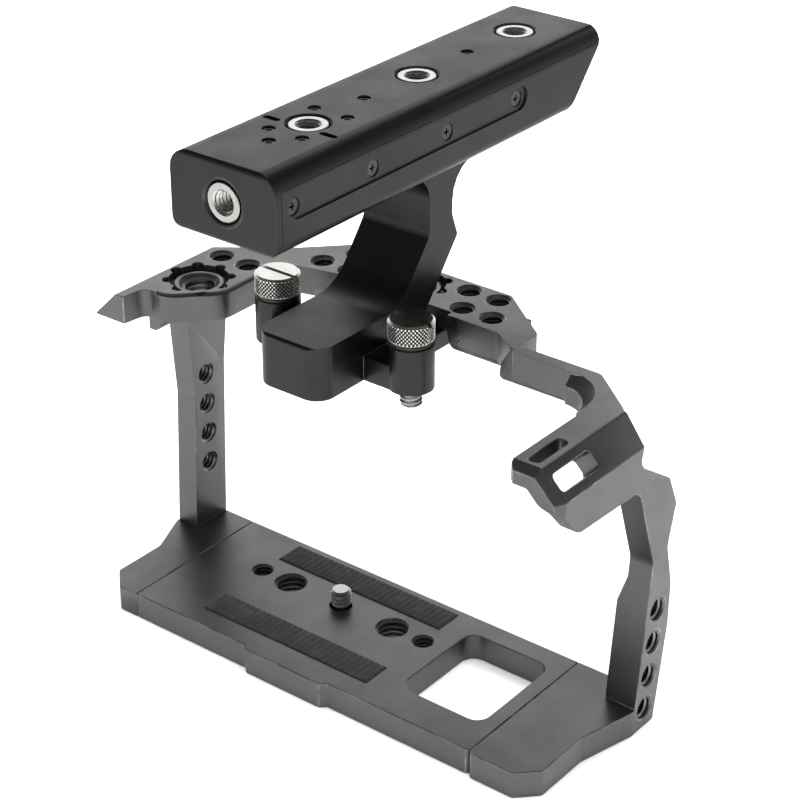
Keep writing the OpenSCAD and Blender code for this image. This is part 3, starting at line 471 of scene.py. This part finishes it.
# A copy of a CAD node, merged and flattened into whole faces, whose edges a small bevel breaks. Where the
# bevel throws a corner off the surface or folds a face over itself, the chains beside it are tried at half
# the width; the corners that are still off at the end go back to the surface.
def brokenEdges(name, node, width, materials):
    mesh = frame["nodes"][node].data.copy()
    work = bmesh.new()
    work.from_mesh(mesh)
    bmesh.ops.remove_doubles(work, verts=work.verts, dist=edgeRule["merge"] * mm)
    bmesh.ops.dissolve_degenerate(work, edges=work.edges, dist=edgeRule["merge"] * mm)
    wholeFaces(work)
    weight = work.edges.layers.float.new("bevel_weight_edge")
    chains = foldChains(work, width * mm)
    beveled = {edge for chain, _ in chains for edge in chain}
    for edge in work.edges:
        edge.smooth = edge in beveled or not (edge.is_manifold and isCrease(edge))
    surface = BVHTree.FromBMesh(work)
    mesh.materials.clear()
    for material in materials:
        mesh.materials.append(material)
    piece = linked(name, mesh)
    bevel = piece.modifiers.new("broken edges", "BEVEL")
    bevel.width = width * mm
    bevel.segments = edgeRule["segments"]
    bevel.limit_method = "WEIGHT"
    bevel.use_clamp_overlap = False
    bevel.material = 1
    for _ in range(edgeRule["tries"]):
        for chain, share in chains:
            for edge in chain:
                edge[weight] = share / (width * mm)
        work.to_mesh(mesh)
        mesh.shade_smooth()
        mesh.update_tag()
        evaluated = piece.evaluated_get(bpy.context.evaluated_depsgraph_get())
        result = bpy.data.meshes.new_from_object(evaluated)
        strays = [point for point in result.vertices
                  if surface.find_nearest(point.co)[3] > edgeRule["stray"] * mm]
        wrong = [point.co for point in strays] + foldedPoints(result)
        if not wrong:
            break
        for part in chains:
            ends = {vert for edge in part[0] for vert in edge.verts}
            if any((vert.co - point).length < edgeRule["near"] * mm for point in wrong for vert in ends):
                part[1] *= 0.5 if part[1] > edgeRule["least"] * mm else 0
    print(name, "chains", len(chains), "strays", len(strays), "wrong", len(wrong))
    for point in strays:
        point.co = surface.find_nearest(point.co)[0]
    work.free()
    piece.modifiers.clear()
    piece.data = result
    result.name = name
    shading = piece.modifiers.new("flat faces stay flat", "WEIGHTED_NORMAL")
    shading.mode = "FACE_AREA"
    shading.keep_sharp = True
    return handOver(piece, "cage", (node,))


metals = {"frame_metal": (frameMetal, frameEdge), "handle_metal": (handleMetal, handleEdge),
          "cover_metal": (coverMetal, coverEdge)}
for node, (name, width) in bodyEdges.items():
    brokenEdges(name, node, width, metals[slotNames[node]])
print("metal bodies copied")


# Each hole of a group is the x, y and z of its mouth and the length of its thread, in mm.
threads = {
    "small": {"major": 3.175, "minor": 2.6, "pitch": 1.27},
    "large": {"major": 4.7625, "minor": 4.05, "pitch": 1.5875},
    "topSmall": [(x, 30, 97.3, 5.8) for x in (-20, 20)] + [(x, 30, 97.3, 7.8) for x in (-30, 30)]
    + [(x, 40, 97.3, 7.8) for x in (-25, -15, 15, 25)] + [(x, 14.5, 97.3, 7.8) for x in (-55, -45)],
    "topLarge": [(-50, -0.5, 96.0, 6.2), (0, 35, 96.0, 4.3)],
    "rightArm": [(94.3, 14.2 + 1.26 * i, 6.2 + 10 * i, 7.9 if i == 0 else 9.0) for i in range(4)],
    "leftArm": [(-68.7, 13, 28 + 10 * i, 6.8) for i in range(4)],
    "plateSmall": [(x, 0, 7.7, 7.4) for x in (-30, 30)],
    "plateLarge": [(x, 0, 7.6, 7.0) for x in (-19, 19)],
}
# wide and narrow are half widths as shares of the pitch; sunk is how far the wide side lies inside the wall,
# in mm; the full height is reached 1 / taper turns from the ends; steps are those in a turn
ridgeForm = {"wide": 0.4, "narrow": 0.1, "sunk": 0.04, "taper": 3, "thinnest": 0.04, "steps": 28}


# One closed ridge: a trapezium whose wide side lies just inside the wall, carried down a helix and thinned
# at both ends; the angle grows with the length, and the height falls with it.
def threadRidge(place, axis, length, kind):
    size, form = threads[kind], ridgeForm
    turns = length / size["pitch"]
    steps = int(turns * form["steps"])
    along = np.linspace(0, 1, steps + 1)[:, None]
    full = np.clip(np.minimum(along, 1 - along) * turns * form["taper"], form["thinnest"], 1)
    wall = 0 * along + size["major"] + form["sunk"]
    crest = size["major"] - (size["major"] - size["minor"]) * full
    wide, narrow = form["wide"] * size["pitch"], form["narrow"] * size["pitch"]
    radius = np.hstack((wall, crest, crest, wall))
    height = -along * length - np.array((-wide, -narrow, narrow, wide)) * full
    points, faces = patch(aimed(revolved(radius, height, along * turns * tau), place, axis), True)
    last = steps * 4
    ends = np.array([(0, 1, 2, 3), (last + 3, last + 2, last + 1, last)])
    return points, np.vstack((faces, ends))


# The ridges of several groups, each given as its name, the direction it opens in and its kind.
def ridges(*groups):
    return [threadRidge(spot[:3], axis, spot[3], kind)
            for group, axis, kind in groups for spot in threads[group]]


makePiece("frameThreads", ridges(("topSmall", (0, 0, 1), "small"), ("topLarge", (0, 0, 1), "large"),
                                 ("rightArm", (1, 0, 0), "small"), ("leftArm", (-1, 0, 0), "small")),
          [boreMetal], "cage")
makePiece("plateThreads", ridges(("plateSmall", (0, 0, 1), "small"), ("plateLarge", (0, 0, 1), "large")),
          [boreMetal], "cage")
print("thread turns made")


insertSize = {"outer": 5.3, "length": 9.7, "mouth": 3.575, "chamfer": 0.2,
              "crest": 2.62, "root": 3.175, "pitch": 1.27, "fade": 0.5, "rows": 92, "columns": 56}
inserts = {"rear_top_insert": ("rearInsert", (0, -10, 149.7), (0, 0, 1)),
           "middle_top_insert": ("middleInsert", (0, 35, 149.7), (0, 0, 1)),
           "front_top_insert": ("frontInsert", (0, 80, 149.7), (0, 0, 1)),
           "end_insert": ("endInsert", (0, -33.1, 148.75), (0, -1, 0))}


# A sleeve in two surfaces of revolution: the outside runs up and over a chamfer to the bright ring, and the
# bore's radius is the thread's, faded to the plain root near both ends. Its z starts at the sleeve's foot.
def insertSleeve(place, axis):
    s = insertSize
    angles = roundAngles(s["columns"])
    top = s["length"]
    outer = np.array([(s["outer"], 0.0), (s["outer"], top - s["chamfer"]), (s["outer"] - s["chamfer"], top),
                      (s["mouth"], top)])
    start = top - (s["mouth"] - s["root"])
    depth = np.linspace(start, 0.0, s["rows"])
    thread = threadRadius(depth[:, None], angles, s["crest"], s["root"], s["pitch"])
    fade = np.clip(np.minimum(start - depth, depth)[:, None] / s["fade"], 0, 1)
    thread = s["root"] + (thread - s["root"]) * fade
    inside = radiusRows(angles, s["mouth"], thread, s["outer"])
    sleeve = revolved(outer[:, 0], outer[:, 1], angles)
    bore = revolved(inside, np.concatenate(((top,), depth, (0.0,))), angles)
    return [patch(aimed(grid, place, axis), True) + (finish,) for finish, grid in enumerate((sleeve, bore))]


for node, (name, place, axis) in inserts.items():
    makePiece(name, insertSleeve(place, axis), [brightSteel, threadSteel], "cage", (node,))
print("inserts made")


thumb = {
    "x": 23.35, "y": 2.8,
    # head and its underside; z heights are those of the whole object
    "radius": 6.4, "bottom": 100.3, "top": 106.6, "lowChamfer": 0.8, "topChamfer": 0.6,
    "under": 4.0, "underSteps": 96,
    # knurl: lines round the head, height of a repeat, depth, share of flat top, steps in a repeat
    "lines": 38, "rise": 1.2, "depth": 0.4, "flat": 0.5, "steps": 8,
    "knurlFrom": 0.5, "fadeLow": 0.4, "fadeTop": 0.25, "sharp": 24,
    # slot: half width, floor, angle at the rim, columns under it, and room that the knurl's columns leave
    "slot": 0.7, "floor": 105.3, "slotTurn": 0.11, "slotColumns": 9, "slotRoom": 0.3,
    # shank with the ring's groove, then the thread
    "shank": 3.175, "shankTop": 100.6, "groove": 2.675, "neck": 3.1, "clipTop": 87.45, "clipLow": 86.55,
    "threadTop": 86.4, "tip": 80.8, "runOut": 0.4, "rows": 76, "columns": 48,
}
hair = 1e-9  # keeps a row that lies at the floor on both sides of it


# Radius of the head: chamfers at both ends, and between them two crossing sets of V grooves, each a
# triangle wave of the angle and height, that leave diamonds with flat tops.
def headRadius(height, angles):
    t = thumb
    low, high = height - t["bottom"], t["top"] - height
    chamfers = np.clip(t["lowChamfer"] - low, 0, None), np.clip(t["topChamfer"] - high, 0, None)
    plain = t["radius"] - chamfers[0] - chamfers[1]
    first = triangle(t["lines"] * angles / tau + low / t["rise"])
    second = triangle(t["lines"] * angles / tau - low / t["rise"])
    groove = np.clip((1 - np.minimum(first, second) - t["flat"]) / (1 - t["flat"]), 0, 1)
    fadeIn = np.clip((low - t["knurlFrom"]) / t["fadeLow"], 0, 1)
    fadeOut = np.clip((high - t["topChamfer"]) / t["fadeTop"], 0, 1)
    return plain - t["depth"] * groove * (fadeIn * fadeOut)


# Angle at which the slot's side meets the rim, row by row; under the floor it keeps the floor's value.
def slotAngle(height):
    return np.arcsin(thumb["slot"] / headRadius(np.maximum(height, thumb["floor"]), thumb["slotTurn"]))


# The slotted head in patches that close it. On each side of the slot: the wall at the head's radius, the
# half top between the rim and its chord, the slot's side, and the wall under the slot's mouth. Then the
# slot's floor and the underside. Only the two walls have the knurl's material.
def knurledHead():
    t = thumb
    levels = np.append(np.arange(t["bottom"], t["top"], t["rise"] / t["steps"]),
                       (t["floor"], t["top"] - t["topChamfer"], t["top"]))
    rows = np.unique(np.round(levels, 4))[:, None]
    lower = rows[rows[:, 0] <= t["floor"] + hair]
    edge = slotAngle(rows)
    step = tau / t["lines"] / t["steps"]
    first = math.ceil(edge.max() / step + t["slotRoom"])
    last = math.floor((math.pi - edge.max()) / step - t["slotRoom"])
    regular = np.arange(first, last + 1) * step
    gap = edge[0, 0] * np.linspace(-1, 1, t["slotColumns"])[None, :]
    grids, walls = [], []
    for turn in (0, math.pi):
        angle = np.hstack((edge, regular + 0 * edge, math.pi - edge)) + turn
        wall = revolved(headRadius(rows, angle), rows, angle)
        walls.append(wall)
        rim = wall[-1]
        chord = rim.copy()
        chord[:, 1] = t["slot"] * math.cos(turn)
        grids.append(np.stack((rim, (rim + chord) / 2, chord)))
        inner = wall[rows[:, 0] >= t["floor"] - hair]
        grids.append(np.stack((inner[:, 0], inner[:, -1])))
        grids.append(revolved(headRadius(lower, gap + turn), lower, gap + turn))
    front, back = grids[2::3]
    grids.append(np.stack((front[-1], back[-1][::-1])))
    under = np.array((t["radius"] - t["lowChamfer"], t["under"], 0.0))
    angles = np.linspace(0, 1, t["underSteps"] + 1)[None, :] * tau
    grids.append(revolved(under, 0 * under + t["bottom"], angles))
    return [patch(grid) + (0,) for grid in grids] + [patch(grid) + (1,) for grid in walls]


# The shank: plain down to the ring's groove, then the thread's radius, cut by a cone at the tip.
def threadedShank():
    t, s = thumb, screwThread
    angles = roundAngles(t["columns"])
    plain = np.array([(0.0, t["shankTop"]), (t["shank"], t["shankTop"]), (t["shank"], t["clipTop"]),
                      (t["groove"], t["clipTop"]), (t["groove"], t["clipLow"]), (t["neck"], t["clipLow"])])
    height = np.linspace(t["threadTop"], t["tip"], t["rows"])
    cut = np.clip((t["threadTop"] - height) / t["runOut"], 0, 1)[:, None]
    thread = threadRadius(height[:, None], angles, s["crest"], s["root"], s["pitch"])
    thread = s["crest"] + (thread - s["crest"]) * cut
    thread = np.minimum(thread, s["root"] + (height - t["tip"])[:, None])
    heights = np.concatenate((plain[:, 1], height, (t["tip"],)))
    return patch(revolved(radiusRows(angles, plain[:, :1], thread, 0), heights, angles), True)


# Writes how far each point of the knurl lies under its crests, as a share of the grooves' depth; the knurl's
# steel darkens by it with oil and painted shade.
def markGrooves(screw, place):
    t, slack = thumb, 0.01
    points = readAll(screw.data.vertices, "co", np.float32, 3) / mm - place
    radius, height = np.hypot(points[:, 0], points[:, 1]), points[:, 2]
    low, high = t["bottom"] + t["lowChamfer"], t["top"] - t["topChamfer"]
    knurl = (height > low) & (height < high - slack) & (radius > t["radius"] - t["depth"] - slack)
    share = np.where(knurl, (t["radius"] - radius) / t["depth"], 0).astype(np.float32)
    screw.data.attributes.new("groove", "FLOAT", "POINT").data.foreach_set("value", share)


for side, sign in (("left", -1), ("right", 1)):
    place = np.array((sign * thumb["x"], thumb["y"], 0))
    parts = [(points + place, *rest) for points, *rest in knurledHead() + [threadedShank()]]
    screw = makePiece(side + "ThumbHead", parts, [headSteel, knurledSteel], side + "_thumbscrew",
                      (side + "_thumbscrew",), thumb["sharp"])
    markGrooves(screw, place)
print("thumbscrews made")


cameraScrew = {
    "head": 7.5, "low": 0.5, "high": 3.7, "lowChamfer": 0.4, "topChamfer": 0.3,
    "hex": 2.6, "hexDepth": 2.0,  # half width across flats, and depth
    "millLines": 48, "millDepth": 0.22, "millRows": 7,
    "waist": 2.45, "threadLow": 8.5, "top": 13.5, "runOut": 0.5, "tip": 2.3, "rows": 70, "columns": 96,
}


# The screw from below, a profile carried round the axis: hexagon socket, rim, milled edge whose radius dips
# with the square of a triangle wave, top of the head, waist, and the thread, cut by a cone at the tip.
def cameraScrewShape():
    c, s = cameraScrew, screwThread
    angles = roundAngles(c["columns"])
    socket = hexagon(angles, c["hex"])
    edge = np.linspace(c["low"] + c["lowChamfer"], c["high"] - c["topChamfer"], c["millRows"])
    milled = c["head"] - c["millDepth"] * (1 - triangle(c["millLines"] * angles / tau)) ** 2
    height = np.linspace(c["threadLow"], c["top"], c["rows"])
    cut = np.clip((height - c["threadLow"]) / c["runOut"], 0, 1)[:, None]
    thread = threadRadius(height[:, None], angles, s["crest"], s["root"], s["pitch"])
    thread = c["waist"] + (thread - c["waist"]) * cut
    thread = np.minimum(thread, c["tip"] + (c["top"] - height)[:, None])
    radius = radiusRows(angles, 0, socket, socket, c["head"] - c["lowChamfer"], *[milled] * c["millRows"],
                        c["head"] - c["topChamfer"], c["waist"], thread, 0)
    floor = c["low"] + c["hexDepth"]
    heights = np.concatenate(((floor, floor, c["low"], c["low"]), edge, (c["high"], c["high"]), height,
                              (c["top"],)))
    return patch(revolved(radius, heights, angles), True)


makePiece("cameraScrewBody", [cameraScrewShape()], [brightSteel], "camera_screw",
          ("camera_screw",))
print("camera screw made")


setScrews = {
    "radius": 1.7, "top": 159.1, "length": 5.0, "cup": 0.3, "rim": 0.2, "columns": 48,
    "flat": 0.93, "socket": 2.0, "lead": 0.06, "leadDepth": 0.1, "drill": 0.2,  # half width, depth, ends
    "spots": [(-5.55, -19), (-5.55, -1), (5.55, -19), (5.55, -1), (0, -25.3), (0, 12.5), (0, 57.5)],
}


# A pin of revolution with a hexagon socket: up the outside, over a chamfer, down the socket to its floor.
def setScrew(x, y):
    s = setScrews
    angles = roundAngles(s["columns"])
    socket = hexagon(angles, s["flat"])
    radius = radiusRows(angles, 0, s["radius"] - s["cup"], s["radius"], s["radius"], s["radius"] - s["rim"],
                        socket + s["lead"], socket, socket, 0)
    low, top = s["top"] - s["length"], s["top"]
    floor = top - s["socket"]
    heights = np.array((low, low, low + s["cup"], top - s["rim"], top, top, top - s["leadDepth"], floor,
                        floor - s["drill"]))
    points, faces = patch(revolved(radius, heights, angles), True)
    return points + np.array((x, y, 0)), faces


makePiece("topSetScrews", [setScrew(*spot) for spot in setScrews["spots"]], [setSteel], "cage",
          ("top_set_screws",))


# arm is the half width of the recess's bars, reach and point how far they reach at its mouth and floor, and
# cross its depth
coverScrews = {
    "face": 16.45, "z": 149.8, "places": (-35.8, -4.6, 26.6, 57.8),
    "radius": 2.25, "shank": 1.5, "head": 1.4, "length": 9.75, "tip": 0.25, "lip": 0.06, "inset": 0.12,
    "arm": 0.27, "floorArm": 0.8, "reach": 1.05, "point": 0.5, "cross": 0.9, "lead": 0.05, "drill": 0.15,
    "columns": 96,
}


# Radius of a cross at each angle: half a bar's width over the sine of the angle from the nearest bar, and
# no further than the bar's round end.
def crossRadius(angles, reach, arm):
    turned = (angles + math.pi / 4) % (math.pi / 2) - math.pi / 4
    return np.minimum(reach, arm / np.maximum(np.abs(np.sin(turned)), 1e-6))


# A countersunk screw of revolution with a cross recess that narrows to its floor, made upright and turned
# so that its face looks out along X.
def coverScrew(y, sign):
    s = coverScrews
    angles = roundAngles(s["columns"]) + math.pi / 4
    mouth = crossRadius(angles, s["reach"], s["arm"])
    floor = crossRadius(angles, s["point"], s["arm"] * s["floorArm"])
    radius = radiusRows(angles, 0, s["shank"] - s["tip"], s["shank"], s["shank"], s["radius"] - s["lip"],
                        s["radius"] - s["inset"], mouth + s["lead"], mouth, floor, 0)
    heights = np.array((-s["length"], -s["length"], s["tip"] - s["length"], -s["head"], -s["lip"], 0, 0,
                        -s["lead"], -s["cross"], -s["cross"] - s["drill"]))
    upright = revolved(radius, heights, angles)
    return patch(aimed(upright, (sign * s["face"], y, s["z"]), (sign, 0, 0)), True)


for side, sign in (("right", 1), ("left", -1)):
    makePiece(side + "CoverScrews", [coverScrew(y, sign) for y in coverScrews["places"]], [blackSteel],
              "cage", (side + "_cover_screws",))
print("set screws and cover screws made")


pads = {
    "length": 60.0, "width": 9.0, "low": 6.5, "top": 8.5, "edge": 0.35, "edgeIn": 0.1, "edgeDown": 0.12,
    "ribs": 30, "ribSteps": 8, "ribDepth": 0.22, "ribShape": 0.6, "topOnly": 8,
    "endRun": 0.4, "endDrop": 0.3, "sharp": 50,
    "places": {"rear_pad": ("rearPadRubber", -21.0), "front_pad": ("frontPadRubber", 12.0)},
}


# A strip along X whose section, with rounded long edges, runs once round it. Its top sinks between the
# ribs, by a power of a triangle wave, and at both ends; a high power of the height keeps that to the top.
def ribbedPad(y):
    p = pads
    along = np.linspace(-0.5, 0.5, p["ribs"] * p["ribSteps"] + 1)
    half, low, top, edge = p["width"] / 2, p["low"], p["top"], p["edge"]
    corner, shoulder = half - p["edgeIn"], top - p["edgeDown"]
    section = np.array([(-half, low), (half, low), (half, top - edge), (corner, shoulder),
                        (half - edge, top), (-half + edge, top), (-corner, shoulder), (-half, top - edge)])
    rib = 1 - triangle((along + 0.5) * p["ribs"]) ** p["ribShape"]
    ends = np.clip((0.5 - np.abs(along)) * p["length"] / p["endRun"], 0, 1)
    lift = np.clip((section[:, 1] - low) / (top - low), 0, 1) ** p["topOnly"]
    x = along[:, None] * p["length"] + 0 * section[:, 0]
    z = section[:, 1] - lift * (rib * p["ribDepth"] + p["endDrop"] * (1 - ends))[:, None]
    grid = np.stack((x, y + section[:, 0] + 0 * x, z), -1)
    caps = [np.stack((end, 0 * end + end.mean(0))) for end in (grid[0], grid[-1])]
    return [patch(part, True) for part in (grid, *caps)]


for node, (name, y) in pads["places"].items():
    makePiece(name, ribbedPad(y), [padRubber], "cage", (node,), pads["sharp"])
print("pads made")


# metres and watts; a box is its place, its size, its power and whether it shows in reflections
studio = {
    "middle": (0.0, 0.02, 0.08),
    "boxes": {"overhead": ((0.0, 0.1, 1.5), (1.6, 1.6), 62, False),
              "backLeft": ((-0.95, 1.15, 0.95), (1.5, 1.1), 9.5, True)},
    "horizon": 1.0, "zenith": 0.08, "fadeFrom": 0.12, "fadeTo": 0.55, "exposure": 0.0,
    "table": 1.0, "tableSides": 96, "tableDrop": 0.0001,
    "tableColour": (0.93, 0.93, 0.93), "tableCloud": 0.2, "tableRough": (0.55, 0.7),
}


# An area light at a place, turned towards the target.
def softbox(name, place, target, size, power):
    light = bpy.data.lights.new(name, "AREA")
    light.shape = "RECTANGLE"
    light.size, light.size_y = size
    light.energy = power
    lamp = linked(name, light)
    lamp.location = place
    x, y, z = np.array(place) - np.array(target)
    lamp.rotation_euler = (math.atan2(math.hypot(x, y), z), 0, math.atan2(y, x) + math.pi / 2)
    return lamp


for name, (place, size, power, shines) in studio["boxes"].items():
    softbox(name, place, studio["middle"], size, power).visible_glossy = shines

# the room is white up to the horizon and darker towards the ceiling
world = bpy.data.worlds.new("studioWorld")
world.use_nodes = True
nodes, links = world.node_tree.nodes, world.node_tree.links
direction = nodes.new("ShaderNodeSeparateXYZ")
fade = nodes.new("ShaderNodeMapRange")
fade.interpolation_type = "SMOOTHSTEP"
for socket, value in (("From Min", "fadeFrom"), ("From Max", "fadeTo"),
                      ("To Min", "horizon"), ("To Max", "zenith")):
    fade.inputs[socket].default_value = studio[value]
links.new(nodes.new("ShaderNodeTexCoord").outputs["Generated"], direction.inputs["Vector"])
links.new(direction.outputs["Z"], fade.inputs["Value"])
links.new(fade.outputs["Result"], nodes["Background"].inputs["Strength"])
nodes["Background"].inputs["Color"].default_value = (1, 1, 1, 1)
scene.world = world

# a round table: past its rim the white room shows, as far floor would stay unlit
sides = studio["tableSides"]
rimAngles = roundAngles(sides)
reach = (studio["table"], studio["table"], 1)
rim = np.stack((np.cos(rimAngles), np.sin(rimAngles), 0 * rimAngles - studio["tableDrop"]), -1) * reach
floorMesh = bpy.data.meshes.new("floor")
floorMesh.from_pydata(rim.tolist(), [], [tuple(range(sides))])
floor = linked("floor", floorMesh)
floorFinish = Finish("paleFloor", studio["tableColour"], 0.0, 0.6)
floorRough = floorFinish.spread(floorFinish.noise(studio["tableCloud"], 3), *studio["tableRough"])
floorMesh.materials.append(floorFinish.finish(roughness=floorRough))

view = {"place": (0.34951, -0.41678, 0.36998), "turn": (61.54, 0.0, 38.18), "lens": 101.2, "sensor": 36,
        "near": 0.01, "far": 50}
camera = linked("camera", bpy.data.cameras.new("camera"))
camera.location = view["place"]
camera.rotation_euler = [math.radians(angle) for angle in view["turn"]]
camera.data.lens = view["lens"]
camera.data.sensor_width = view["sensor"]
camera.data.clip_start = view["near"]
camera.data.clip_end = view["far"]
scene.camera = camera
scene.view_settings.view_transform = "Standard"
scene.view_settings.exposure = studio["exposure"]
print("studio made")

bpy.context.view_layer.update()
